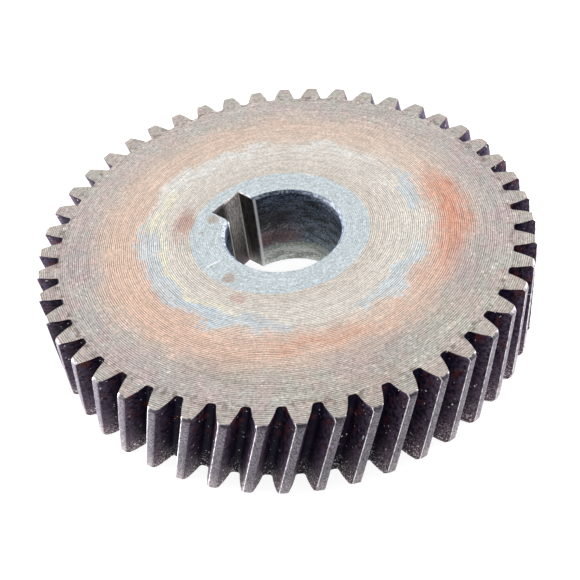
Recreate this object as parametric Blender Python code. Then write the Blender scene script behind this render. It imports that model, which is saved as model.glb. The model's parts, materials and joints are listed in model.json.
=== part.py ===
"""A helical gear with a keyed bore, machined from one piece of steel.

The gear lies on its lower face. Its bore's axis is Z, the origin is on that axis
in the plane of the lower face, and the keyway is on the +Y side of the bore.
It is made as the real one is: a turned disc whose rim carries right-hand helical
involute teeth, then a chamfered bore and a broached keyway cut out of it.
"""

import math

import bmesh
import bpy

MM = 0.001

# Driving dimensions
TEETH = 47
NORMAL_MODULE = 1.25 * MM
NORMAL_PRESSURE_ANGLE = math.radians(20)
HELIX_ANGLE = math.radians(14)
DEDENDUM = 1.25 * NORMAL_MODULE
FACE_WIDTH = 12.5 * MM
TIP_CHAMFER = 0.35 * MM
ROOT_FILLET = 0.4 * MM
BORE_RADIUS = 7.5 * MM
BORE_CHAMFER = 0.35 * MM
KEYWAY_WIDTH = 5.0 * MM
KEYWAY_FLOOR = BORE_RADIUS + 2.3 * MM
KEYWAY_CHAMFER = 0.12 * MM
# On the upper face, from the keyway's middle anticlockwise to the next gap's middle, in tooth pitches
TOOTH_PHASE = 0.87

# Worked out from them
TRANSVERSE_MODULE = NORMAL_MODULE / math.cos(HELIX_ANGLE)
TRANSVERSE_PRESSURE_ANGLE = math.atan(math.tan(NORMAL_PRESSURE_ANGLE) / math.cos(HELIX_ANGLE))
PITCH_RADIUS = TEETH * TRANSVERSE_MODULE / 2
BASE_RADIUS = PITCH_RADIUS * math.cos(TRANSVERSE_PRESSURE_ANGLE)
TIP_RADIUS = PITCH_RADIUS + NORMAL_MODULE
ROOT_RADIUS = PITCH_RADIUS - DEDENDUM
PITCH_ANGLE = 2 * math.pi / TEETH
TWIST_PER_METRE = math.tan(HELIX_ANGLE) / PITCH_RADIUS

# Fineness of the mesh
FILLET_STEPS = 2
FLANK_STEPS = 2
MIDDLE_LEVELS = 2
BORE_SEGMENTS = 96
OVERSHOOT = 1.0 * MM

STEEL_COLOUR = (0.36, 0.33, 0.30, 1)
STEEL_ROUGHNESS = 0.42
SHARP_EDGE = math.radians(35)


def involute(angle):
    return math.tan(angle) - angle


def flank_angle(radius):
    """Half the angle that a tooth takes up at this radius, on its involute flanks."""
    rolled = math.acos(BASE_RADIUS / radius)
    return math.pi / (2 * TEETH) + involute(TRANSVERSE_PRESSURE_ANGLE) - involute(rolled)


def half_gap(height):
    """Half the width of the gap between two teeth, this far above its floor, on the flanks."""
    radius = ROOT_RADIUS + height
    return radius * (PITCH_ANGLE / 2 - flank_angle(radius))


def fillet():
    """How far the root fillet's centre is from the gap's middle, and its sweep up to the flank."""
    lean = math.atan((half_gap(ROOT_FILLET) - half_gap(0)) / ROOT_FILLET)
    centre = half_gap(ROOT_FILLET) - ROOT_FILLET / math.cos(lean)
    return centre, math.pi / 2 - lean


def gap_side(tip_radius):
    """Points up one side of a gap, from its floor to the tip.

    Each is its distance from the axis and its angle from the gap's middle.
    """
    centre, sweep = fillet()
    points = []
    for step in range(FILLET_STEPS + 1):
        turn = sweep * step / FILLET_STEPS
        radius = ROOT_RADIUS + ROOT_FILLET * (1 - math.cos(turn))
        points.append((radius, (centre + ROOT_FILLET * math.sin(turn)) / radius))
    flank_start = points[-1][0]
    for step in range(1, FLANK_STEPS + 1):
        radius = flank_start + (tip_radius - flank_start) * step / FLANK_STEPS
        points.append((radius, PITCH_ANGLE / 2 - flank_angle(radius)))
    return points


def tooth_outline(height, tip_radius):
    """The gear's outline at this height, as points all the way round."""
    side = gap_side(tip_radius)
    one_gap = [(radius, -angle) for radius, angle in reversed(side)] + side
    one_gap.append((tip_radius, PITCH_ANGLE / 2))
    turned = TWIST_PER_METRE * (height - FACE_WIDTH)
    points = []
    for tooth in range(TEETH):
        middle = math.pi / 2 + (tooth + TOOTH_PHASE) * PITCH_ANGLE + turned
        for radius, angle in one_gap:
            points.append((radius * math.cos(middle + angle), radius * math.sin(middle + angle), height))
    return points


def circle(radius, height):
    turns = [2 * math.pi * i / BORE_SEGMENTS for i in range(BORE_SEGMENTS)]
    return [(radius * math.cos(turn), radius * math.sin(turn), height) for turn in turns]


def keyway_section(growth, height):
    """The keyway's rectangle, from the bore's axis out to its floor, grown at its walls and floor."""
    half, floor = KEYWAY_WIDTH / 2 + growth, KEYWAY_FLOOR + growth
    return [(half, 0, height), (half, floor, height), (-half, floor, height), (-half, 0, height)]


def lofted(name, rings):
    """A closed mesh object through rings of anticlockwise points, given from the lowest up."""
    shape = bmesh.new()
    loops = [[shape.verts.new(point) for point in ring] for ring in rings]
    for lower, upper in zip(loops, loops[1:]):
        for i, start in enumerate(lower):
            following = (i + 1) % len(lower)
            shape.faces.new((start, lower[following], upper[following], upper[i]))
    shape.faces.new(reversed(loops[0]))
    shape.faces.new(loops[-1])
    mesh = bpy.data.meshes.new(name)
    shape.to_mesh(mesh)
    shape.free()
    made = bpy.data.objects.new(name, mesh)
    bpy.context.scene.collection.objects.link(made)
    return made


def toothed_disc():
    """The disc with its teeth, whose tips are chamfered at both faces."""
    straight = FACE_WIDTH - 2 * TIP_CHAMFER
    levels = [TIP_CHAMFER + straight * i / (MIDDLE_LEVELS + 1) for i in range(MIDDLE_LEVELS + 2)]
    rings = [tooth_outline(0, TIP_RADIUS - TIP_CHAMFER)]
    rings += [tooth_outline(height, TIP_RADIUS) for height in levels]
    rings.append(tooth_outline(FACE_WIDTH, TIP_RADIUS - TIP_CHAMFER))
    return lofted("helical_gear", rings)


def flared_levels(chamfer):
    """(growth, height) of a through cut that opens out by its chamfer at both faces."""
    return [
        (chamfer + OVERSHOOT, -OVERSHOOT),
        (0, chamfer),
        (0, FACE_WIDTH - chamfer),
        (chamfer + OVERSHOOT, FACE_WIDTH + OVERSHOOT),
    ]


def cut(body, cutter):
    cutter.hide_render = True
    cutter.display_type = "WIRE"
    boolean = body.modifiers.new(cutter.name, "BOOLEAN")
    boolean.operation = "DIFFERENCE"
    boolean.solver = "EXACT"
    boolean.object = cutter


def steel():
    material = bpy.data.materials.new("gear_steel")
    material.use_nodes = True
    shader = material.node_tree.nodes["Principled BSDF"]
    shader.inputs["Base Color"].default_value = STEEL_COLOUR
    shader.inputs["Metallic"].default_value = 1.0
    shader.inputs["Roughness"].default_value = STEEL_ROUGHNESS
    return material


def main():
    for obj in list(bpy.data.objects):
        bpy.data.objects.remove(obj, do_unlink=True)
    gear = toothed_disc()
    gear.data.materials.append(steel())
    gear.data.shade_smooth()
    gear.data.set_sharp_from_angle(angle=SHARP_EDGE)
    bore = [circle(BORE_RADIUS + growth, height) for growth, height in flared_levels(BORE_CHAMFER)]
    cut(gear, lofted("bore_cutter", bore))
    keyway = [keyway_section(growth, height) for growth, height in flared_levels(KEYWAY_CHAMFER)]
    cut(gear, lofted("keyway_cutter", keyway))


main()
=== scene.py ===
"""The looks of a used helical gear: turned faces with heat tints, oily tooth flanks, a keyed bore.

Everything is in metres in the frame's axes: the bore's axis is Z, the lower face is at Z = 0 and the
keyway is on the +Y side. The gear is one closed mesh, because the real one is one piece of steel.
"""

import json
import math

import bpy
import numpy as np
from mathutils import Matrix, Vector


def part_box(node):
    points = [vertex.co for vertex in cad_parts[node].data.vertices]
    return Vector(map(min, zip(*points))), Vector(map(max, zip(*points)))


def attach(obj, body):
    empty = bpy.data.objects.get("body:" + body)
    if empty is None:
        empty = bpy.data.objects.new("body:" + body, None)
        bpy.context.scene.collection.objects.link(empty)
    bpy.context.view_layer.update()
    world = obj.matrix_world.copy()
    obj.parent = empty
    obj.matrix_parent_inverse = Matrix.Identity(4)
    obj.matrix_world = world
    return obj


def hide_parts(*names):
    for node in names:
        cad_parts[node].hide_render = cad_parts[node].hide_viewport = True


MM = 0.001
NODE = "helical_gear"

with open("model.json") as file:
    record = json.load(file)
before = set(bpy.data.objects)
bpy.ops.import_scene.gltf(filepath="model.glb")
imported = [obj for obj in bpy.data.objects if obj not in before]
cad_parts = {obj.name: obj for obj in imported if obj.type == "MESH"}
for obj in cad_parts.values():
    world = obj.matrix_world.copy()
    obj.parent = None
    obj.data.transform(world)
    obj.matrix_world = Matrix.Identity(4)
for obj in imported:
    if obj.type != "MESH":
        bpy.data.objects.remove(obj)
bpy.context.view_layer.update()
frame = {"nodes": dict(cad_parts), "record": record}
low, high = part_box(NODE)
mounts = {mount["name"]: mount for mount in frame["record"]["mounts"]}

# Teeth. Their sizes follow from the frame's outside diameter.
TEETH = 47
HELIX_ANGLE = math.radians(14)
NORMAL_PRESSURE_ANGLE = math.radians(20)
TOOTH_PHASE = 0.87
DEDENDUM = 1.25
FACE_WIDTH = high.z - low.z
TIP_RADIUS = (high.x - low.x) / 2
NORMAL_MODULE = TIP_RADIUS / (TEETH / (2 * math.cos(HELIX_ANGLE)) + 1)
PRESSURE_ANGLE = math.atan(math.tan(NORMAL_PRESSURE_ANGLE) / math.cos(HELIX_ANGLE))
PITCH_RADIUS = TIP_RADIUS - NORMAL_MODULE
BASE_RADIUS = PITCH_RADIUS * math.cos(PRESSURE_ANGLE)
ROOT_RADIUS = PITCH_RADIUS - DEDENDUM * NORMAL_MODULE
PITCH_ANGLE = 2 * math.pi / TEETH
TWIST = math.tan(HELIX_ANGLE) / PITCH_RADIUS
ROOT_FILLET = 0.4 * MM
TIP_CHAMFER = 0.35 * MM
WORN_EDGE = 0.06 * MM

# Bore and keyway
BORE_RADIUS = min(Vector(v.co[:2]).length for v in frame["nodes"][NODE].data.vertices)
BORE_CHAMFER = 0.35 * MM
KEYWAY_HALF = mounts["keyway_right_wall"]["pos_m"][0]
KEYWAY_FLOOR = mounts["keyway_floor"]["pos_m"][1]
KEYWAY_CHAMFER = 0.12 * MM

# Turning marks. A whole number of them fits between the contact mark and the teeth's roots.
CONTACT_RADIUS = 11.4 * MM
CONTACT_GROOVES = 0.25
GROOVES = round((ROOT_RADIUS - CONTACT_RADIUS) / (0.258 * MM))
GROOVE_PITCH = (ROOT_RADIUS - CONTACT_RADIUS) / GROOVES
GROOVE_DEPTH = 0.016 * MM
COARSER_BELOW = 4
LOWER_GROOVE_PITCH = (ROOT_RADIUS - CONTACT_RADIUS) / (GROOVES // COARSER_BELOW)

# Mesh fineness
FLOOR_COLUMNS = 2
TOOTH_COLUMNS = 4
FILLET_STEPS = 3
LEVELS = 7
BORE_LEVELS = 10
ROWS_PER_GROOVE = 2
END_ROOM = 0.02
ANGLE_SLACK = 1e-9

FACE, FLANK, TIP, EDGE, BORE, RIM, KEYWAY = range(7)


# --- the teeth's outline ---


def involute(angle):
    return math.tan(angle) - angle


def flank_angle(radius):
    """Half the angle that a tooth takes up at this radius."""
    rolled = math.acos(min(1.0, BASE_RADIUS / radius))
    return math.pi / (2 * TEETH) + involute(PRESSURE_ANGLE) - involute(rolled)


def half_gap(height):
    """Half the width of the gap between two teeth, this far above its floor."""
    radius = ROOT_RADIUS + height
    return radius * (PITCH_ANGLE / 2 - flank_angle(radius))


def fillet_points():
    """Radius and angle from the gap's middle, from the floor's edge up to the flank."""
    lean = math.atan((half_gap(ROOT_FILLET) - half_gap(0)) / ROOT_FILLET)
    centre = half_gap(ROOT_FILLET) - ROOT_FILLET / math.cos(lean)
    points = []
    for step in range(FILLET_STEPS + 1):
        turn = (math.pi / 2 - lean) * step / FILLET_STEPS
        radius = ROOT_RADIUS + ROOT_FILLET * (1 - math.cos(turn))
        points.append((radius, (centre + ROOT_FILLET * math.sin(turn)) / radius))
    return points


FILLET = fillet_points()
FLANK_START = FILLET[-1][0]


def flank_rows():
    """How far up the flank each row is, as shares. On the upper face they lie on the turning marks."""
    row = GROOVE_PITCH / ROWS_PER_GROOVE
    flank_end = TIP_RADIUS - TIP_CHAMFER - WORN_EDGE
    first = math.ceil((FLANK_START - CONTACT_RADIUS) / row)
    last = math.floor((flank_end - CONTACT_RADIUS) / row)
    radii = [CONTACT_RADIUS + row * step for step in range(first, last + 1)]
    shares = [(radius - FLANK_START) / (flank_end - FLANK_START) for radius in radii]
    return [share for share in shares if END_ROOM < share < 1 - END_ROOM] + [1.0]


FLANK_ROWS = flank_rows()


def gap_side(tip_radius):
    """Radius and angle from the gap's middle up one side of a gap, with the tip's edge worn off."""
    points = list(FILLET)
    flank_end = tip_radius - WORN_EDGE
    for share in FLANK_ROWS:
        radius = FLANK_START + (flank_end - FLANK_START) * share
        points.append((radius, PITCH_ANGLE / 2 - flank_angle(radius)))
    points.append((tip_radius, PITCH_ANGLE / 2 - flank_angle(tip_radius) + WORN_EDGE / tip_radius))
    return points


SIDE_POINTS = FILLET_STEPS + 1 + len(FLANK_ROWS) + 1


def between(start, end, steps):
    """The values strictly between two numbers, evenly spaced."""
    return [start + (end - start) * i / steps for i in range(1, steps)]


def pitch_outline(tip_radius):
    """One pitch of the outline, anticlockwise: floor, flank, tip, flank. Angles from the gap's middle."""
    side = gap_side(tip_radius)
    floor_edge = side[0][1]
    points = [(ROOT_RADIUS, angle) for angle in between(-floor_edge, floor_edge, FLOOR_COLUMNS)]
    points += side
    land = between(side[-1][1], PITCH_ANGLE - side[-1][1], TOOTH_COLUMNS)
    points += [(tip_radius, angle) for angle in land]
    points += [(radius, PITCH_ANGLE - angle) for radius, angle in reversed(side)]
    return points


def outline_materials():
    """The material of the wall after each point of pitch_outline."""
    flank = [FLANK] * (SIDE_POINTS - 2)
    floor = [FLANK] * (FLOOR_COLUMNS - 1)
    return floor + flank + [EDGE] + [TIP] * TOOTH_COLUMNS + [TIP] + flank + [FLANK]


def gap_middle(tooth, height):
    """The direction of a tooth gap's middle at this height."""
    return math.pi / 2 + (tooth + TOOTH_PHASE) * PITCH_ANGLE + TWIST * (height - FACE_WIDTH)


def column_angles(height):
    """The angles of the disc's columns, which meet the teeth's roots at this height."""
    edge = FILLET[0][1]
    one = between(-edge, edge, FLOOR_COLUMNS) + [edge]
    one += between(edge, PITCH_ANGLE - edge, TOOTH_COLUMNS) + [PITCH_ANGLE - edge]
    return np.array([gap_middle(tooth, height) + angle for tooth in range(TEETH) for angle in one])


# --- surface relief ---


def waviness(x, y, scale):
    """A smooth uneven field between -1 and 1, with features about this long."""
    u, v = x / scale, y / scale
    total = np.sin(1.7 * u + 0.6 * np.sin(1.3 * v)) + np.sin(2.1 * v + 0.9 * np.sin(0.8 * u) + 1.3)
    return (total + np.sin(1.1 * (u + v) + 2.2)) / 3


def groove(x, y, pitch):
    """How deep the turning marks are cut at points of a face."""
    radius = np.hypot(x, y)
    phase = np.abs(((radius - CONTACT_RADIUS) / pitch) % 1.0 - 0.5) * 2
    unworn = np.clip((radius - CONTACT_RADIUS) / (0.5 * MM), 0, 1)
    strength = CONTACT_GROOVES + (1 - CONTACT_GROOVES) * unworn
    return GROOVE_DEPTH * strength * (0.7 + 0.3 * waviness(x, y, 3 * MM)) * phase


# --- the bore's outline ---


def keyed_contour(angles, growth, keyway_growth):
    """Points of the bore and its keyway near these angles. The keyway's corners get a column each."""
    half, floor, bore = KEYWAY_HALF + keyway_growth, KEYWAY_FLOOR + keyway_growth, BORE_RADIUS + growth
    away = np.mod(angles - math.pi / 2 + math.pi, 2 * math.pi) - math.pi
    mouth, corner = math.asin(half / bore), math.atan2(half, floor)
    nominal_mouth = math.asin(KEYWAY_HALF / BORE_RADIUS)
    nominal_corner = math.atan2(KEYWAY_HALF, KEYWAY_FLOOR)
    taken = {}
    for sign in (-1, 1):
        for nominal, real in ((nominal_mouth, mouth), (nominal_corner, corner)):
            taken[int(np.argmin(np.abs(away - sign * nominal)))] = sign * real
    snapped = away.copy()
    for column, angle in taken.items():
        snapped[column] = angle
    radii = np.full(len(angles), bore)
    size = np.abs(snapped)
    walls = (size < mouth - ANGLE_SLACK) & (size > corner + ANGLE_SLACK)
    ends = size <= corner + ANGLE_SLACK
    radii[walls] = half / np.sin(size[walls])
    radii[ends] = floor / np.cos(size[ends])
    turned = snapped + math.pi / 2
    return radii, turned


def contour_ring(angles, growth, keyway_growth, height):
    """A ring of points along the bore and keyway. height is one number or one for each column."""
    radii, turned = keyed_contour(angles, growth, keyway_growth)
    return np.stack([radii * np.cos(turned), radii * np.sin(turned), height + 0 * radii], -1)


# --- building the mesh ---


class Shell:
    """Vertices and faces of the gear, gathered ring by ring."""

    def __init__(self):
        self.points = []
        self.faces = []
        self.slots = []
        self.smooth = []

    def ring(self, points):
        """Adds points and returns their numbers."""
        start = len(self.points)
        self.points.extend(map(tuple, points))
        return list(range(start, start + len(points)))

    def face(self, corners, slot, smooth):
        """Add one face."""
        self.faces.append(corners)
        self.slots.append(slot)
        self.smooth.append(smooth)

    def band(self, lower, upper, slots, smooth, flip=False):
        """Quads between two closed rings of as many points each."""
        for i, start in enumerate(lower):
            j = (i + 1) % len(lower)
            corners = (start, lower[j], upper[j], upper[i])
            slot = slots[i % len(slots)]
            self.face(corners[::-1] if flip else corners, slot, smooth)

    def strip(self, left, right, slot, flip):
        """Quads between two open rows of as many points each, which share no points."""
        for i in range(len(left) - 1):
            corners = (left[i], left[i + 1], right[i + 1], right[i])
            self.face(corners[::-1] if flip else corners, slot, False)


def relief_points(radii, angles, height, pitch, up):
    """Points of a turned face. Its grooves are cut into it from the side that up says."""
    x, y = radii * np.cos(angles), radii * np.sin(angles)
    return np.stack([x, y, height - up * groove(x, y, pitch)], -1)


def disc_face(shell, inner, outer, height, pitch, up):
    """The round part of a face, from the bore's edge ring out to the ring of the teeth's roots."""
    row = pitch / ROWS_PER_GROOVE
    start = np.array([shell.points[i] for i in inner])
    end = np.array([shell.points[i] for i in outer])
    start_radius, end_radius = np.hypot(*start[:, :2].T), np.hypot(*end[:, :2].T)
    start_angle = np.unwrap(np.arctan2(start[:, 1], start[:, 0]))
    end_angle = np.unwrap(np.arctan2(end[:, 1], end[:, 0]))
    end_angle += 2 * math.pi * np.round((start_angle[0] - end_angle[0]) / (2 * math.pi))
    inner_rows = max(2, round((CONTACT_RADIUS - start_radius.min()) / row))
    outer_rows = round((ROOT_RADIUS - CONTACT_RADIUS) / row)
    last = inner
    for step in range(1, inner_rows + 1):
        radii = start_radius + (CONTACT_RADIUS - start_radius) * step / inner_rows
        ring = shell.ring(relief_points(radii, start_angle, height, pitch, up))
        shell.band(last, ring, [FACE], False, flip=up > 0)
        last = ring
    for step in range(1, outer_rows):
        share = step / outer_rows
        radii = CONTACT_RADIUS + (end_radius - CONTACT_RADIUS) * share
        angles = start_angle + (end_angle - start_angle) * share
        ring = shell.ring(relief_points(radii, angles, height, pitch, up))
        shell.band(last, ring, [FACE], False, flip=up > 0)
        last = ring
    shell.band(last, outer, [FACE], False, flip=up > 0)


def tooth_ends(shell, outline, roots, height, pitch, up):
    """The teeth's flat ends on a face, in rows from root to tip."""
    per_pitch = len(outline) // TEETH
    for tooth in range(TEETH):
        left_start = tooth * per_pitch + FLOOR_COLUMNS - 1
        right_start = left_start + SIDE_POINTS + TOOTH_COLUMNS - 1
        left = outline[left_start:left_start + SIDE_POINTS]
        tip = outline[left_start + SIDE_POINTS:right_start]
        right = outline[right_start:right_start + SIDE_POINTS][::-1]
        last = [left[0]] + roots[tooth] + [right[0]]
        for row in range(1, SIDE_POINTS):
            middle = tip
            if row < SIDE_POINTS - 1:
                a, b = shell.points[left[row]], shell.points[right[row]]
                turn_a = math.atan2(a[1], a[0])
                turn_b = turn_a + (math.atan2(b[1], b[0]) - turn_a) % (2 * math.pi)
                angles = np.array(between(turn_a, turn_b, TOOTH_COLUMNS))
                radii = np.full(len(angles), math.hypot(a[0], a[1]))
                middle = shell.ring(relief_points(radii, angles, height, pitch, up))
            now = [left[row]] + middle + [right[row]]
            shell.strip(last, now, FACE, flip=up > 0)
            last = now


def outline_ring(shell, height, tip_radius, pitch=None, up=0):
    """The toothed outline at one height. On a face it follows the turning marks."""
    one = pitch_outline(tip_radius)
    radii = np.array([radius for radius, _ in one] * TEETH)
    angles = np.array([gap_middle(tooth, height) + angle for tooth in range(TEETH) for _, angle in one])
    if pitch:
        return shell.ring(relief_points(radii, angles, height, pitch, up))
    return shell.ring(np.stack([radii * np.cos(angles), radii * np.sin(angles), height + 0 * radii], -1))


def root_ring(shell, outline, height, pitch, up):
    """The closed ring at the teeth's roots, and the points in it that lie under each tooth."""
    per_pitch = len(outline) // TEETH
    edge = FILLET[0][1]
    ring, roots = [], []
    for tooth in range(TEETH):
        first = tooth * per_pitch
        middle = gap_middle(tooth, height)
        angles = np.array([middle + angle for angle in between(edge, PITCH_ANGLE - edge, TOOTH_COLUMNS)])
        radii = np.full(len(angles), ROOT_RADIUS)
        roots.append(shell.ring(relief_points(radii, angles, height, pitch, up)))
        ring += outline[first:first + FLOOR_COLUMNS] + roots[tooth]
        ring.append(outline[first + per_pitch - 1])
    return ring, roots


def toothed_wall(shell):
    """The rim's wall from the lower face to the upper. Returns its two end outlines."""
    shaved = TIP_RADIUS - TIP_CHAMFER
    straight = FACE_WIDTH - 2 * TIP_CHAMFER
    slots = outline_materials()
    bottom = outline_ring(shell, 0.0, shaved, LOWER_GROOVE_PITCH, -1)
    last = bottom
    for step in range(LEVELS + 1):
        ring = outline_ring(shell, TIP_CHAMFER + straight * step / LEVELS, TIP_RADIUS)
        shell.band(last, ring, slots, True)
        last = ring
    top = outline_ring(shell, FACE_WIDTH, shaved, GROOVE_PITCH, 1)
    shell.band(last, top, slots, True)
    return bottom, top


def bore_wall(shell, angles):
    """The bore and keyway with their chamfers. Returns the rings at the lower and upper face."""
    away = np.abs(np.mod(angles - math.pi / 2 + math.pi, 2 * math.pi) - math.pi)
    in_keyway = away < math.asin(KEYWAY_HALF / BORE_RADIUS)
    at_floor = away < math.atan2(KEYWAY_HALF, KEYWAY_FLOOR)
    depth = np.where(in_keyway, KEYWAY_CHAMFER, BORE_CHAMFER)
    chamfers = np.select([at_floor, in_keyway], [KEYWAY, EDGE], RIM).tolist()
    walls = np.where(in_keyway, KEYWAY, BORE).tolist()
    lower = shell.ring(contour_ring(angles, BORE_CHAMFER, KEYWAY_CHAMFER, 0.0))
    last = shell.ring(contour_ring(angles, 0, 0, depth))
    shell.band(lower, last, chamfers, False, flip=True)
    for step in range(1, BORE_LEVELS + 1):
        heights = depth + (FACE_WIDTH - 2 * depth) * step / BORE_LEVELS
        ring = shell.ring(contour_ring(angles, 0, 0, heights))
        shell.band(last, ring, walls, True, flip=True)
        last = ring
    upper = shell.ring(contour_ring(angles, BORE_CHAMFER, KEYWAY_CHAMFER, FACE_WIDTH))
    shell.band(last, upper, chamfers, False, flip=True)
    return lower, upper


def gear_mesh():
    """The whole gear as one closed mesh, with a material slot for each kind of surface."""
    shell = Shell()
    bottom, top = toothed_wall(shell)
    lower, upper = bore_wall(shell, column_angles(FACE_WIDTH))
    faces = ((top, upper, FACE_WIDTH, GROOVE_PITCH, 1), (bottom, lower, 0.0, LOWER_GROOVE_PITCH, -1))
    for outline, bore_ring, height, pitch, up in faces:
        root, roots = root_ring(shell, outline, height, pitch, up)
        tooth_ends(shell, outline, roots, height, pitch, up)
        disc_face(shell, bore_ring, root, height, pitch, up)
    mesh = bpy.data.meshes.new("gear")
    mesh.from_pydata(shell.points, [], shell.faces)
    mesh.polygons.foreach_set("material_index", shell.slots)
    mesh.polygons.foreach_set("use_smooth", shell.smooth)
    return mesh


# --- materials ---


def linear(red, green, blue):
    """A display colour, 0 to 255 each, as the linear colour that a shader takes."""
    def one(value):
        share = value / 255
        return share / 12.92 if share <= 0.04045 else ((share + 0.055) / 1.055) ** 2.4
    return (one(red), one(green), one(blue), 1.0)


class Nodes:
    """A material's node tree, with short ways to add what the gear's finishes need."""

    def __init__(self, name):
        self.material = bpy.data.materials.new(name)
        self.material.use_nodes = True
        self.tree = self.material.node_tree
        self.shader = self.tree.nodes["Principled BSDF"]
        place = self.tree.nodes.new("ShaderNodeTexCoord")
        scaled = self.tree.nodes.new("ShaderNodeVectorMath")
        scaled.operation = "SCALE"
        scaled.inputs["Scale"].default_value = 1 / MM
        self.tree.links.new(place.outputs["Object"], scaled.inputs[0])
        self.place = scaled.outputs[0]
        split = self.tree.nodes.new("ShaderNodeSeparateXYZ")
        self.tree.links.new(self.place, split.inputs[0])
        self.x, self.y, self.z = split.outputs
        self.radius = self.from_axis(self.x, self.y)

    def put(self, socket, value):
        """Link a socket's value, or set it where it is a plain number."""
        if isinstance(value, bpy.types.NodeSocket):
            self.tree.links.new(value, socket)
        else:
            socket.default_value = value

    def math(self, operation, first, second=0.0):
        """One math node."""
        node = self.tree.nodes.new("ShaderNodeMath")
        node.operation = operation
        self.put(node.inputs[0], first)
        self.put(node.inputs[1], second)
        return node.outputs[0]

    def noise(self, size, detail=3.0, stretch=None, shift=0.0):
        """Noise from 0 to 1 with features about this many millimetres long."""
        node = self.tree.nodes.new("ShaderNodeTexNoise")
        node.inputs["Scale"].default_value = 1 / size
        node.inputs["Detail"].default_value = detail
        mapping = self.tree.nodes.new("ShaderNodeMapping")
        mapping.inputs["Location"].default_value = (shift, -shift, shift)
        mapping.inputs["Scale"].default_value = stretch or (1, 1, 1)
        self.tree.links.new(self.place, mapping.inputs["Vector"])
        self.tree.links.new(mapping.outputs[0], node.inputs["Vector"])
        return node.outputs["Fac"]

    def polar_noise(self, across, along, detail=2.0, shift=0.0):
        """Noise drawn out round the axis: features this long across and along the turning marks."""
        turn = self.math("MULTIPLY", self.math("ARCTAN2", self.y, self.x), TIP_RADIUS / MM / along)
        joined = self.tree.nodes.new("ShaderNodeCombineXYZ")
        self.put(joined.inputs[0], self.math("MULTIPLY", self.radius, 1 / across))
        self.put(joined.inputs[1], turn)
        self.put(joined.inputs[2], shift)
        node = self.tree.nodes.new("ShaderNodeTexNoise")
        node.inputs["Scale"].default_value = 1.0
        node.inputs["Detail"].default_value = detail
        self.tree.links.new(joined.outputs[0], node.inputs["Vector"])
        return node.outputs["Fac"]

    def span(self, value, start, end, low=0.0, high=1.0):
        """Eases from low to high as value goes from start to end."""
        node = self.tree.nodes.new("ShaderNodeMapRange")
        node.interpolation_type = "SMOOTHSTEP"
        self.put(node.inputs["Value"], value)
        for name, number in (("From Min", start), ("From Max", end), ("To Min", low), ("To Max", high)):
            node.inputs[name].default_value = number
        return node.outputs["Result"]

    def mix(self, factor, first, second, blend="MIX"):
        """One colour mixed over another."""
        node = self.tree.nodes.new("ShaderNodeMix")
        node.data_type = "RGBA"
        node.blend_type = blend
        colours = [socket for socket in node.inputs if socket.type == "RGBA"]
        self.put(node.inputs["Factor"], factor)
        self.put(colours[0], first)
        self.put(colours[1], second)
        return next(socket for socket in node.outputs if socket.type == "RGBA")

    def ramp(self, value, stops):
        """A colour from a list of (value, colour) stops."""
        first, last = stops[0][0], stops[-1][0]
        node = self.tree.nodes.new("ShaderNodeValToRGB")
        stretched = self.tree.nodes.new("ShaderNodeMapRange")
        self.put(stretched.inputs["Value"], value)
        stretched.inputs["From Min"].default_value = first
        stretched.inputs["From Max"].default_value = last
        self.tree.links.new(stretched.outputs["Result"], node.inputs["Fac"])
        points = node.color_ramp.elements
        while len(points) < len(stops):
            points.new(0.5)
        for point, (at, colour) in zip(points, stops):
            point.position = (at - first) / (last - first)
            point.color = colour
        return node.outputs["Color"]

    def from_axis(self, x, y):
        """How far a place is from the bore's axis."""
        squares = [self.math("MULTIPLY", value, value) for value in (x, y)]
        return self.math("SQRT", self.math("ADD", *squares))

    def warped(self, size, amount, shift=0.0):
        """The place, moved unevenly by up to half this amount: x, y and distance from the axis."""
        moves = []
        for axis, start in ((self.x, shift), (self.y, shift + 40.0)):
            step = self.math("SUBTRACT", self.noise(size, 4.0, shift=start), 0.5)
            moves.append(self.math("ADD", axis, self.math("MULTIPLY", step, amount)))
        return moves[0], moves[1], self.from_axis(*moves)

    def towards(self, degrees, half_width, soft=0.4, place=None):
        """1 in this direction from the axis, 0.5 this many degrees to either side of it, then 0."""
        x, y, radius = place or (self.x, self.y, self.radius)
        turn = math.radians(degrees)
        along = self.math("ADD", self.math("MULTIPLY", x, math.cos(turn)),
                          self.math("MULTIPLY", y, math.sin(turn)))
        share = self.math("DIVIDE", along, radius)
        outside = math.radians(half_width * (1 + soft))
        inside = math.radians(half_width * (1 - soft))
        return self.span(share, math.cos(outside), math.cos(inside))

    def ring(self, share, middle, half_width, soft=0.4):
        """1 at this share of the tip radius, 0.5 this far to either side of it, then 0."""
        away = self.math("ABSOLUTE", self.math("SUBTRACT", share, middle))
        return self.span(away, half_width * (1 + soft), half_width * (1 - soft))

    def ragged(self, mask, noise, rough, edge):
        """A mask whose edge is broken up by noise, and is crisp where the number edge is small."""
        outside = self.math("SUBTRACT", 1.0, mask)
        at_edge = self.math("MULTIPLY", self.math("MULTIPLY", mask, outside), 4.0)
        move = self.math("MULTIPLY", self.math("SUBTRACT", noise, 0.5), rough)
        moved = self.math("ADD", mask, self.math("MULTIPLY", move, at_edge))
        return self.span(moved, 0.5 - edge, 0.5 + edge)

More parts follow.
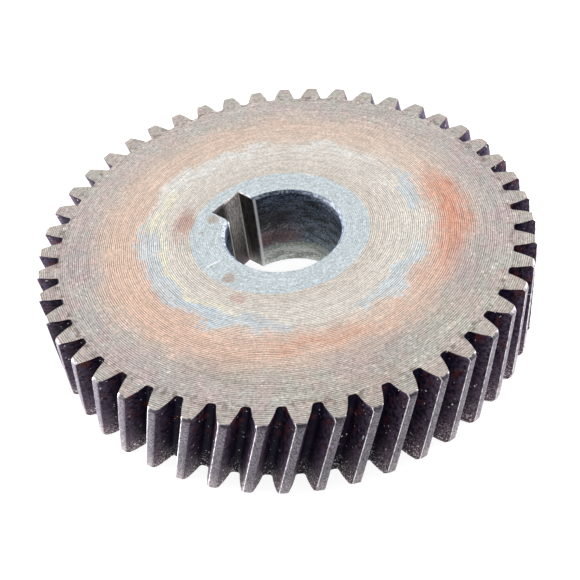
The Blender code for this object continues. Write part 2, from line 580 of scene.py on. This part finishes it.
    def wall_noise(self, across, along, tilt=0.0, detail=4.0, shift=0.0):
        """Noise on the bore's wall, drawn out round it. Tilt is how steeply its streaks rise."""
        around = self.math("MULTIPLY", self.math("ARCTAN2", self.y, self.x), BORE_RADIUS / MM)
        risen = self.math("SUBTRACT", self.z, self.math("MULTIPLY", around, tilt))
        joined = self.tree.nodes.new("ShaderNodeCombineXYZ")
        self.put(joined.inputs[0], self.math("MULTIPLY", around, 1 / along))
        self.put(joined.inputs[1], self.math("MULTIPLY", risen, 1 / across))
        self.put(joined.inputs[2], shift)
        node = self.tree.nodes.new("ShaderNodeTexNoise")
        node.inputs["Scale"].default_value = 1.0
        node.inputs["Detail"].default_value = detail
        self.tree.links.new(joined.outputs[0], node.inputs["Vector"])
        return node.outputs["Fac"]

    def scaled(self, colour, factor):
        """A colour made lighter or darker by a factor that varies over the surface."""
        grey = self.tree.nodes.new("ShaderNodeVectorMath")
        grey.operation = "SCALE"
        self.tree.links.new(colour, grey.inputs[0])
        self.tree.links.new(factor, grey.inputs["Scale"])
        return grey.outputs[0]

    def spot(self, degrees, share, along, across, rough=0.5):
        """A stain with a rough edge, at a direction and share of the tip radius. Sizes in millimetres."""
        turn, out = math.radians(degrees), share * TIP_RADIUS / MM
        dx = self.math("SUBTRACT", self.x, out * math.cos(turn))
        dy = self.math("SUBTRACT", self.y, out * math.sin(turn))
        radial = self.math("ADD", self.math("MULTIPLY", dx, math.cos(turn)),
                           self.math("MULTIPLY", dy, math.sin(turn)))
        around = self.math("SUBTRACT", self.math("MULTIPLY", dy, math.cos(turn)),
                           self.math("MULTIPLY", dx, math.sin(turn)))
        radial = self.math("DIVIDE", radial, across)
        around = self.math("DIVIDE", around, along)
        far = self.math("SQRT", self.math("ADD", self.math("MULTIPLY", radial, radial),
                                          self.math("MULTIPLY", around, around)))
        ragged = self.math("SUBTRACT", self.noise(0.7, 3.0, shift=degrees), 0.5)
        far = self.math("ADD", far, self.math("MULTIPLY", ragged, rough * 2))
        return self.span(far, 1.25, 0.6)

    def bump(self, height, strength, distance):
        """Give the shader this height as bump."""
        node = self.tree.nodes.new("ShaderNodeBump")
        node.inputs["Strength"].default_value = strength
        node.inputs["Distance"].default_value = distance
        self.put(node.inputs["Height"], height)
        self.put(self.shader.inputs["Normal"], node.outputs["Normal"])

    def finish(self, colour, roughness, metallic):
        """Connect the shader and give back the material."""
        self.put(self.shader.inputs["Base Color"], colour)
        self.put(self.shader.inputs["Roughness"], roughness)
        self.shader.inputs["Metallic"].default_value = metallic
        return self.material


# Directions are in degrees anticlockwise from +X, seen from above. The keyway is at 90.
# The face's colour from the bore out, by share of the tip radius.
TINTS = [
    (0.37, linear(214, 206, 196)), (0.43, linear(219, 212, 204)), (0.50, linear(222, 216, 208)),
    (0.56, linear(220, 214, 206)), (0.62, linear(219, 208, 197)), (0.68, linear(215, 202, 191)),
    (0.75, linear(206, 195, 187)), (0.82, linear(202, 193, 187)), (0.90, linear(202, 195, 190)),
    (1.0, linear(202, 196, 190)),
]
PALE_BLUE = linear(200, 212, 220)
WHITISH = linear(232, 232, 228)
CREAM = linear(236, 230, 208)
ORANGE = linear(222, 190, 172)
RED_ORANGE = linear(216, 156, 132)
PEACH = linear(224, 200, 184)
MAUVE = linear(174, 156, 166)
OLIVE = linear(178, 176, 162)
BROWN = linear(172, 148, 134)
STAIN = linear(176, 156, 140)
PINK_STAIN = linear(196, 164, 154)
SCRATCHED = linear(250, 250, 248)
SOFT, CRISP = False, True

# (direction, half width in degrees, share of the radius, half width, tint, strength, edge)
ZONES = [
    (-150, 60, 0.660, 0.080, ORANGE, 1.00, SOFT),
    (154, 46, 0.650, 0.090, ORANGE, 1.00, SOFT),
    (60, 62, 0.670, 0.090, PEACH, 1.00, SOFT),
    (-58, 20, 0.665, 0.060, RED_ORANGE, 0.55, SOFT),
    (-47, 17, 0.680, 0.055, RED_ORANGE, 1.00, SOFT),
    (-128, 12, 0.640, 0.035, RED_ORANGE, 0.40, SOFT),
    (-112, 10, 0.790, 0.065, MAUVE, 0.65, SOFT),
    (-74, 9, 0.780, 0.070, MAUVE, 0.70, SOFT),
    (-42, 22, 0.880, 0.080, MAUVE, 0.60, SOFT),
    (138, 7, 0.830, 0.060, MAUVE, 0.60, SOFT),
    (165, 36, 0.870, 0.080, MAUVE, 0.50, SOFT),
    (18, 16, 0.850, 0.050, MAUVE, 0.30, SOFT),
    (-95, 24, 0.830, 0.090, OLIVE, 0.50, SOFT),
    (-142, 9, 0.830, 0.070, OLIVE, 0.35, SOFT),
    (-124, 9, 0.900, 0.060, BROWN, 0.35, SOFT),
    (-158, 7, 0.780, 0.050, BROWN, 0.40, SOFT),
    (-168, 14, 0.525, 0.030, PALE_BLUE, 0.70, CRISP),
    (-146, 6, 0.545, 0.022, PALE_BLUE, 0.55, CRISP),
    (-86, 15, 0.550, 0.038, PALE_BLUE, 0.70, CRISP),
    (-32, 9, 0.550, 0.034, PALE_BLUE, 0.65, CRISP),
    (14, 15, 0.550, 0.020, WHITISH, 0.60, CRISP),
    (84, 27, 0.560, 0.036, WHITISH, 0.75, CRISP),
    (155, 28, 0.542, 0.040, PALE_BLUE, 0.70, CRISP),
    (112, 10, 0.530, 0.030, CREAM, 0.70, CRISP),
    (160, 26, 0.487, 0.012, CREAM, 0.80, CRISP),
]
# (direction, share of the radius, length along, width across, colour, strength)
SPOTS = [
    (-179, 0.337, 0.80, 0.95, STAIN, 0.75),
    (112, 0.302, 0.85, 0.95, STAIN, 0.65),
    (119, 0.420, 3.80, 1.40, PINK_STAIN, 0.50),
    (118, 0.410, 1.90, 1.10, PINK_STAIN, 0.90),
    (-165, 0.415, 1.10, 0.80, PINK_STAIN, 0.65),
    (127, 0.330, 0.25, 0.25, STAIN, 0.80),
    (162, 0.325, 0.13, 1.15, SCRATCHED, 0.80),
]
# The contact mark round the bore is off centre by this much
CONTACT_DIRECTION = math.radians(145)
CONTACT_SHIFT = 0.44
CONTACT_EDGE = 0.3635
# Colour factors on the turning marks: their ridges are lighter as a painted highlight, their grooves
# darker with dirt and painted shade.
RIDGE_HIGHLIGHT_GAIN = 1.34
GROOVE_DIRT_AND_SHADE_GAIN = 0.34


def tinted(n, share):
    """The face's colour: tints from the bore out, then zones with uneven edges."""
    drift = n.math("MULTIPLY", n.math("SUBTRACT", n.noise(6.0, 4.0), 0.5), 0.06)
    colour = n.ramp(n.math("ADD", share, drift), TINTS)
    place = n.warped(4.0, 5.5)
    moved_share = n.math("DIVIDE", place[2], TIP_RADIUS / MM)
    blotchy = n.noise(0.9, 6.0, shift=31.0)
    streaky = n.polar_noise(0.45, 2.6, 5.0, shift=6.0)
    broken = n.span(n.math("ADD", blotchy, streaky), 0.8, 1.2)
    patchy = n.span(broken, 0, 1, 0.65, 1.0)
    for degrees, half, middle, width, tint, strength, crisp in ZONES:
        direction = n.towards(degrees, half, 0.9, place)
        mask = n.math("MULTIPLY", direction, n.ring(moved_share, middle, width, 0.9))
        mask = n.ragged(mask, broken, 0.8, 0.35) if crisp else n.math("MULTIPLY", mask, patchy)
        colour = n.mix(n.math("MULTIPLY", mask, strength), colour, tint)
    return colour


def contact_mark(n, colour):
    """The clean bluish ring that a shoulder has left round the bore. Also says where it is."""
    dx = n.math("SUBTRACT", n.x, CONTACT_SHIFT * math.cos(CONTACT_DIRECTION))
    dy = n.math("SUBTRACT", n.y, CONTACT_SHIFT * math.sin(CONTACT_DIRECTION))
    away = n.math("DIVIDE", n.from_axis(dx, dy), TIP_RADIUS / MM)
    away = n.math("ADD", away, n.math("MULTIPLY", n.math("SUBTRACT", n.noise(1.4, 4.0), 0.5), 0.012))
    inside = n.span(away, CONTACT_EDGE + 0.003, CONTACT_EDGE - 0.003)
    bluish = n.mix(n.span(n.noise(0.32, 4.0), 0.3, 0.7), linear(184, 196, 201), linear(217, 225, 229))
    return n.mix(inside, colour, bluish), inside


def groove_dirt_and_light(n, contact):
    """A factor for the colour: ridges lighter as a painted highlight, grooves darker with dirt and
    painted shade, broken along their length.
    """
    turns = n.math("DIVIDE", n.math("SUBTRACT", n.radius, CONTACT_RADIUS / MM), GROOVE_PITCH / MM)
    deep = n.math("ABSOLUTE", n.math("SUBTRACT", n.math("FRACT", turns), 0.5))
    pattern = n.math("SUBTRACT", n.span(deep, 0.12, 0.42, RIDGE_HIGHLIGHT_GAIN, GROOVE_DIRT_AND_SHADE_GAIN), 1.0)
    strength = n.span(n.polar_noise(0.5, 2.6, 4.0), 0.36, 0.60, 0.12, 0.8)
    strength = n.math("MULTIPLY", strength, n.span(contact, 0, 1, 1.0, 0.45))
    return n.math("ADD", n.math("MULTIPLY", pattern, strength), 1.0)


def turned_face():
    """Both faces: heat tints, a contact mark, stains, specks, painted glints and turning marks with
    painted highlight and shade.
    """
    n = Nodes("turned_face")
    share = n.math("DIVIDE", n.radius, TIP_RADIUS / MM)
    colour, contact = contact_mark(n, tinted(n, share))
    for degrees, middle, along, across, tint, strength in SPOTS:
        stain = n.spot(degrees, middle, along, across)
        colour = n.mix(n.math("MULTIPLY", stain, strength), colour, tint)
    patches = n.span(n.noise(2.2, 6.0, shift=37.0), 0.40, 0.60)
    mottled = n.mix(patches, linear(216, 186, 180), linear(186, 196, 184))
    colour = n.mix(n.span(share, 0.68, 0.82, 0.0, 0.26), colour, mottled)
    outer = n.span(share, 0.62, 0.84)
    dark_fleck = n.math("MULTIPLY", n.span(n.polar_noise(0.3, 0.55, 5.0, shift=11.0), 0.52, 0.62),
                        n.span(outer, 0, 1, 0.05, 0.4))
    colour = n.mix(dark_fleck, colour, linear(128, 116, 110))
    # White flecks on the outer part of the face: painted glints.
    clustered = n.math("MULTIPLY", n.span(n.noise(2.0, 4.0, shift=19.0), 0.42, 0.62), outer)
    painted_glint_fleck = n.math("MULTIPLY", n.span(n.polar_noise(0.25, 0.7, 4.0, shift=17.0), 0.54, 0.62),
                          n.span(clustered, 0, 1, 0.04, 0.5))
    colour = n.mix(painted_glint_fleck, colour, linear(248, 244, 232))
    root_dirt = n.math("MULTIPLY", n.ring(share, 0.915, 0.02, 0.9),
                       n.span(n.noise(0.7, 4.0, shift=23.0), 0.5, 0.62, 0.0, 0.6))
    colour = n.mix(root_dirt, colour, linear(104, 84, 70))
    colour = n.mix(n.span(share, 0.90, 0.95, 0.0, 0.2), colour, linear(142, 128, 120))
    grain = n.span(n.noise(0.24, 5.0, shift=9.0), 0.3, 0.7, 0.83, 1.17)
    colour = n.scaled(colour, grain)
    streaks = n.span(n.polar_noise(0.45, 8.0, 3.0, shift=2.0), 0.3, 0.7, 0.9, 1.09)
    colour = n.scaled(colour, streaks)
    # The turning marks: painted highlight on the ridges, dirt and painted shade in the grooves.
    colour = n.scaled(colour, groove_dirt_and_light(n, contact))
    roughness = n.span(n.polar_noise(0.5, 6.0, shift=4.0), 0.3, 0.7, 0.45, 0.62)
    n.bump(n.noise(0.14, 2.0), 0.35, 0.02 * MM)
    return n.finish(colour, roughness, 0.5)


def tooth_flank():
    """Flanks that are nearly black deep in the gaps, from dirt and painted shade, and violet-grey near
    the tips, with rust, grit and painted glints.
    """
    n = Nodes("tooth_flank")
    height = n.math("DIVIDE", n.z, FACE_WIDTH / MM)
    share = n.math("DIVIDE", n.radius, TIP_RADIUS / MM)
    mottle = n.noise(0.5, 6.0)
    colour = n.mix(n.span(mottle, 0.36, 0.66), linear(22, 16, 28), linear(66, 54, 74))
    # Nearly black deep in the gaps: dirt and painted shade.
    colour = n.mix(n.span(share, 0.97, 0.90, 0.0, 0.95), colour, linear(20, 16, 36))
    rubbed = n.math("MULTIPLY", n.span(share, 0.955, 1.0),
                    n.span(n.noise(0.35, 4.0, shift=2.0), 0.35, 0.65, 0.0, 0.5))
    colour = n.mix(rubbed, colour, linear(120, 106, 126))
    rust = n.math("MULTIPLY", n.span(n.noise(1.2, 5.0, shift=3.0), 0.54, 0.66), n.span(height, 0.3, 0.9))
    colour = n.mix(n.math("MULTIPLY", rust, 0.6), colour, linear(92, 44, 38))
    # Lighter towards the lower face, near the tips.
    lighter_low_down = n.math("MULTIPLY", n.span(height, 0.6, 0.0), n.span(n.noise(0.2, 4.0), 0.36, 0.64))
    lighter_low_down = n.math("MULTIPLY", lighter_low_down, n.span(share, 0.91, 0.99, 0.05, 0.9))
    colour = n.mix(lighter_low_down, colour, linear(128, 112, 122))
    low_grit = n.span(n.noise(0.2, 4.0, shift=5.0), 0.56, 0.62)
    low_grit = n.math("MULTIPLY", low_grit, n.span(height, 0.28, 0.02))
    colour = n.mix(low_grit, colour, linear(226, 214, 212))
    # White specks on the flanks: painted glints.
    glint = n.span(n.noise(0.42, 3.0, shift=13.0), 0.69, 0.72)
    colour = n.mix(glint, colour, linear(250, 248, 250))
    n.bump(mottle, 0.5, 0.03 * MM)
    n.shader.inputs["Specular IOR Level"].default_value = 0.03
    return n.finish(colour, n.span(n.noise(0.9, 2.0), 0.35, 0.65, 0.38, 0.55), 0.0)


def tooth_tip():
    """The grey lands on the teeth's tips: grainy, dusty at the foot, dark at the top chamfer, with a
    painted highlight along the top edge.
    """
    n = Nodes("tooth_tip")
    below_top = n.math("SUBTRACT", FACE_WIDTH / MM, n.z)
    colour = n.mix(n.span(n.noise(0.22, 5.0), 0.36, 0.64), linear(60, 51, 63), linear(132, 125, 137))
    colour = n.mix(n.span(n.noise(1.6, 4.0, shift=2.0), 0.45, 0.72, 0, 0.5), colour, linear(90, 80, 88))
    dusty = n.math("ADD", n.span(below_top, 6.5, 12.5, 0.0, 0.36), n.noise(0.2, 5.0, shift=8.0))
    colour = n.mix(n.span(dusty, 0.66, 1.0, 0.0, 0.55), colour, linear(206, 192, 192))
    chamfer = n.math("MULTIPLY", n.span(below_top, 0.5, 0.36),
                     n.span(n.noise(1.4, 3.0, shift=4.0), 0.38, 0.52, 0.35, 0.9))
    colour = n.mix(chamfer, colour, linear(52, 44, 52))
    # A thin light line along the lands' top edge: painted highlight.
    top_line = n.span(n.noise(0.8, 3.0, shift=6.0), 0.40, 0.52, 0.0, 0.6)
    top_line = n.math("MULTIPLY", top_line, n.span(below_top, 0.13, 0.09))
    colour = n.mix(top_line, colour, linear(220, 216, 216))
    n.bump(n.noise(0.2, 2.0), 0.4, 0.02 * MM)
    return n.finish(colour, 0.5, 0.2)


def worn_edge_and_highlight():
    """Bare bright metal on the edges that rub, with a painted highlight on it."""
    n = Nodes("worn_edge_and_highlight")
    # Near-white on the edges: worn metal with a painted highlight.
    colour = n.mix(n.span(n.noise(0.6, 3.0), 0.38, 0.55), linear(150, 144, 150), linear(246, 244, 246))
    return n.finish(colour, 0.4, 0.2)


def keyway_edges(n):
    """1 along the two edges where the keyway meets the bore, fading out beside them."""
    edge_y = math.sqrt(BORE_RADIUS ** 2 - KEYWAY_HALF ** 2) / MM
    masks = []
    for side in (-1, 1):
        dx = n.math("SUBTRACT", n.x, side * KEYWAY_HALF / MM)
        away = n.from_axis(dx, n.math("SUBTRACT", n.y, edge_y))
        masks.append(n.span(away, 0.32, 0.1))
    return n.math("ADD", *masks)


def bore_wall_finish():
    """The blued wall of the bore: mottled, with rising scores, a rusty patch, a pale foot that is painted
    reflection of the floor's light, and painted highlights along the keyway's edges.
    """
    n = Nodes("bore_wall")
    height = n.math("DIVIDE", n.z, FACE_WIDTH / MM)
    fine = n.wall_noise(0.24, 0.34, detail=6.0)
    broad = n.wall_noise(0.9, 2.6, detail=6.0, shift=3.0)
    mottle = n.span(n.math("ADD", fine, broad), 0.84, 1.18)
    colour = n.mix(mottle, linear(10, 11, 20), linear(90, 102, 122))
    # Paler towards the foot of the wall: painted reflection of the floor's light.
    worn = n.math("MULTIPLY", n.span(height, 0.85, 0.3, 0.0, 0.5), n.span(mottle, 0.1, 0.9, 0.25, 1.0))
    colour = n.mix(worn, colour, linear(142, 158, 166))
    brown = n.math("MULTIPLY", n.towards(62, 26, 0.95), n.ring(height, 0.64, 0.1, 0.9))
    colour = n.mix(n.math("MULTIPLY", brown, 0.8), colour, linear(26, 16, 18))
    rusty = n.math("MULTIPLY", n.towards(56, 20, 0.95), n.ring(height, 0.38, 0.12, 0.9))
    rusty = n.math("MULTIPLY", rusty, n.span(mottle, 0.1, 0.9, 0.35, 1.0))
    colour = n.mix(rusty, colour, linear(112, 76, 76))
    scores = n.span(n.wall_noise(0.24, 1.2, -0.35, shift=5.0), 0.56, 0.64, 0.0, 0.7)
    scores = n.math("MULTIPLY", scores, n.towards(60, 16, 0.9))
    scores = n.math("MULTIPLY", scores, n.ring(height, 0.54, 0.08, 0.9))
    colour = n.mix(scores, colour, linear(170, 162, 158))
    colour = n.scaled(colour, n.span(n.noise(0.2, 4.0, shift=15.0), 0.32, 0.68, 0.5, 1.6))
    # A pale uneven band at the foot of the wall: painted reflection of the floor's light.
    uneven = n.math("MULTIPLY", n.math("SUBTRACT", broad, 0.5), 0.4)
    foot = n.span(n.math("ADD", height, uneven), 0.32, 0.2)
    washed = n.mix(mottle, linear(146, 152, 144), linear(228, 230, 222))
    colour = n.mix(n.math("MULTIPLY", foot, 0.85), colour, washed)
    # White along the keyway's edges: burrs with a painted highlight.
    colour = n.mix(n.math("MULTIPLY", keyway_edges(n), 0.9), colour, linear(244, 242, 244))
    n.bump(fine, 0.5, 0.03 * MM)
    n.shader.inputs["Specular IOR Level"].default_value = 0.2
    return n.finish(colour, 0.5, 0.0)


def keyway_finish():
    """The broached keyway: dark walls, a floor that is paler on the right of its upper part, and painted
    highlights along its edges with the bore.
    """
    n = Nodes("keyway")
    broached = n.noise(0.28, 6.0, stretch=(1.6, 1.6, 0.4), shift=2.0)
    colour = n.mix(n.span(broached, 0.40, 0.64), linear(12, 10, 12), linear(66, 58, 58))
    on_floor = n.span(n.y, KEYWAY_FLOOR / MM - 0.10, KEYWAY_FLOOR / MM - 0.04)
    pale = n.math("MULTIPLY", n.span(n.x, -0.9, 0.7), n.span(broached, 0.34, 0.66, 0.35, 1.0))
    pale = n.math("MULTIPLY", pale, n.span(n.z, 2.5, 10.0, 0.1, 1.0))
    colour = n.mix(n.math("MULTIPLY", on_floor, pale), colour, linear(238, 230, 224))
    at_corner = n.math("MULTIPLY", n.span(n.x, KEYWAY_HALF / MM - 0.2, KEYWAY_HALF / MM - 0.1), on_floor)
    colour = n.mix(n.math("MULTIPLY", at_corner, 0.7), colour, linear(210, 204, 200))
    foot = n.math("MULTIPLY", n.span(n.z, 2.6, 0.4), n.span(broached, 0.4, 0.6, 0.2, 0.8))
    foot_colour = n.mix(on_floor, linear(166, 158, 158), linear(104, 70, 84))
    colour = n.mix(foot, colour, foot_colour)
    # White along the keyway's edges: burrs with a painted highlight.
    colour = n.mix(keyway_edges(n), colour, linear(248, 246, 248))
    n.bump(broached, 0.5, 0.03 * MM)
    return n.finish(colour, 0.5, 0.1)


def bore_edge():
    """The bluish chamfers of the bore."""
    n = Nodes("bore_edge")
    colour = n.mix(n.span(n.noise(0.4, 5.0), 0.42, 0.66), linear(52, 66, 88), linear(150, 162, 176))
    return n.finish(colour, 0.55, 0.0)


# --- stage ---

ELEVATION = 0.71596
AZIMUTH = math.radians(-45.33)
ROLL = -0.13741
DISTANCE = 4.16671
PAN_RIGHT = 0.00689
PAN_UP = -0.05897
LENS = 64.2
SENSOR = 36.0
CLIP_START = 0.005
CLIP_END = 10


def photographer():
    """The camera, aimed from above and a little to one side, slightly rolled."""
    target = Vector((0, 0, FACE_WIDTH))
    away = Vector((math.sin(AZIMUTH), -math.cos(AZIMUTH), 0)) * math.cos(ELEVATION)
    away.z = math.sin(ELEVATION)
    forward = -away
    right = forward.cross(Vector((0, 0, 1))).normalized()
    up = right.cross(forward)
    tilted_right = right * math.cos(ROLL) + up * math.sin(ROLL)
    tilted_up = up * math.cos(ROLL) - right * math.sin(ROLL)
    forward = (forward + tilted_right * math.tan(PAN_RIGHT) + tilted_up * math.tan(PAN_UP)).normalized()
    right = (tilted_right - forward * tilted_right.dot(forward)).normalized()
    up = right.cross(forward)
    camera = bpy.data.cameras.new("camera")
    camera.lens, camera.sensor_width = LENS, SENSOR
    camera.clip_start, camera.clip_end = CLIP_START, CLIP_END
    placed = bpy.data.objects.new("camera", camera)
    turned = Matrix((right, up, -forward)).transposed().to_4x4()
    placed.matrix_world = Matrix.Translation(target + away * DISTANCE * TIP_RADIUS) @ turned
    bpy.context.scene.collection.objects.link(placed)
    bpy.context.scene.camera = placed


FLOOR_SIZE = 4.0
FLOOR_GAP = 0.02 * MM
FLOOR_GLOW = 0.88
FLOOR_SHADE = 0.35


def pale_floor():
    """A white light table: it glows, so that the gear's shadow on it stays faint."""
    mesh = bpy.data.meshes.new("floor")
    corners = [(-1, -1), (1, -1), (1, 1), (-1, 1)]
    points = [(x * FLOOR_SIZE, y * FLOOR_SIZE, -FLOOR_GAP) for x, y in corners]
    mesh.from_pydata(points, [], [(0, 1, 2, 3)])
    floor = bpy.data.objects.new("floor", mesh)
    bpy.context.scene.collection.objects.link(floor)
    material = bpy.data.materials.new("floor")
    material.use_nodes = True
    shader = material.node_tree.nodes["Principled BSDF"]
    shader.inputs["Base Color"].default_value = (FLOOR_SHADE, FLOOR_SHADE, FLOOR_SHADE, 1)
    shader.inputs["Roughness"].default_value = 0.9
    shader.inputs["Specular IOR Level"].default_value = 0.1
    shader.inputs["Emission Color"].default_value = (1, 1, 1, 1)
    shader.inputs["Emission Strength"].default_value = FLOOR_GLOW
    floor.data.materials.append(material)


LAMP_DISTANCE = 0.5
LAMP_ELEVATION = math.radians(5)
LAMP_WIDTH = 0.36
LAMP_HEIGHT = 0.08
# Direction from the axis in degrees, and watts
LEFT_LAMP = (118, 10.0)
RIGHT_LAMP = (-22, 9.0)


def side_lamp(name, degrees, watts):
    """A wide soft lamp, low down in this direction, that looks at the gear."""
    turn = math.radians(degrees)
    flat = math.cos(LAMP_ELEVATION)
    direction = Vector((flat * math.cos(turn), flat * math.sin(turn), math.sin(LAMP_ELEVATION)))
    lamp = bpy.data.lights.new(name, "AREA")
    lamp.shape = "RECTANGLE"
    lamp.energy, lamp.size, lamp.size_y = watts, LAMP_WIDTH, LAMP_HEIGHT
    placed = bpy.data.objects.new(name, lamp)
    placed.location = direction * LAMP_DISTANCE
    placed.rotation_mode = "QUATERNION"
    placed.rotation_quaternion = direction.to_track_quat("Z", "Y")
    placed.visible_camera = False
    bpy.context.scene.collection.objects.link(placed)


ROOM_TILT = 0.6
ROOM_BRIGHT = 0.85
ROOM_DIM = 0.3


def studio():
    """A white room, dimmer low down on the photographer's side, with a low lamp to either side."""
    world = bpy.data.worlds.new("studio")
    world.use_nodes = True
    tree = world.node_tree
    background = tree.nodes["Background"]
    background.inputs["Color"].default_value = (1, 1, 1, 1)
    place = tree.nodes.new("ShaderNodeTexCoord")
    toward = tree.nodes.new("ShaderNodeVectorMath")
    toward.operation = "DOT_PRODUCT"
    toward.inputs[1].default_value = (math.sin(AZIMUTH), -math.cos(AZIMUTH), -ROOM_TILT)
    tree.links.new(place.outputs["Generated"], toward.inputs[0])
    shade = tree.nodes.new("ShaderNodeMapRange")
    tree.links.new(toward.outputs["Value"], shade.inputs["Value"])
    limits = (("From Min", -1.0), ("From Max", 1.0), ("To Min", ROOM_BRIGHT), ("To Max", ROOM_DIM))
    for name, number in limits:
        shade.inputs[name].default_value = number
    rays = tree.nodes.new("ShaderNodeLightPath")
    seen = tree.nodes.new("ShaderNodeMix")
    tree.links.new(rays.outputs["Is Camera Ray"], seen.inputs["Factor"])
    tree.links.new(shade.outputs["Result"], seen.inputs["A"])
    seen.inputs["B"].default_value = 1.0
    tree.links.new(seen.outputs["Result"], background.inputs["Strength"])
    bpy.context.scene.world = world
    bpy.context.scene.view_settings.view_transform = "Standard"
    side_lamp("left_lamp", *LEFT_LAMP)
    side_lamp("right_lamp", *RIGHT_LAMP)


def helical_gear():
    """The gear with its finishes, in the place of the CAD node."""
    finishes = {
        FACE: turned_face, FLANK: tooth_flank, TIP: tooth_tip, EDGE: worn_edge_and_highlight,
        BORE: bore_wall_finish, RIM: bore_edge, KEYWAY: keyway_finish,
    }
    mesh = gear_mesh()
    for slot in sorted(finishes):
        mesh.materials.append(finishes[slot]())
    gear = bpy.data.objects.new("gear", mesh)
    bpy.context.scene.collection.objects.link(gear)
    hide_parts(NODE)
    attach(gear, "root")


photographer()
studio()
pale_floor()
helical_gear()

bpy.context.view_layer.update()
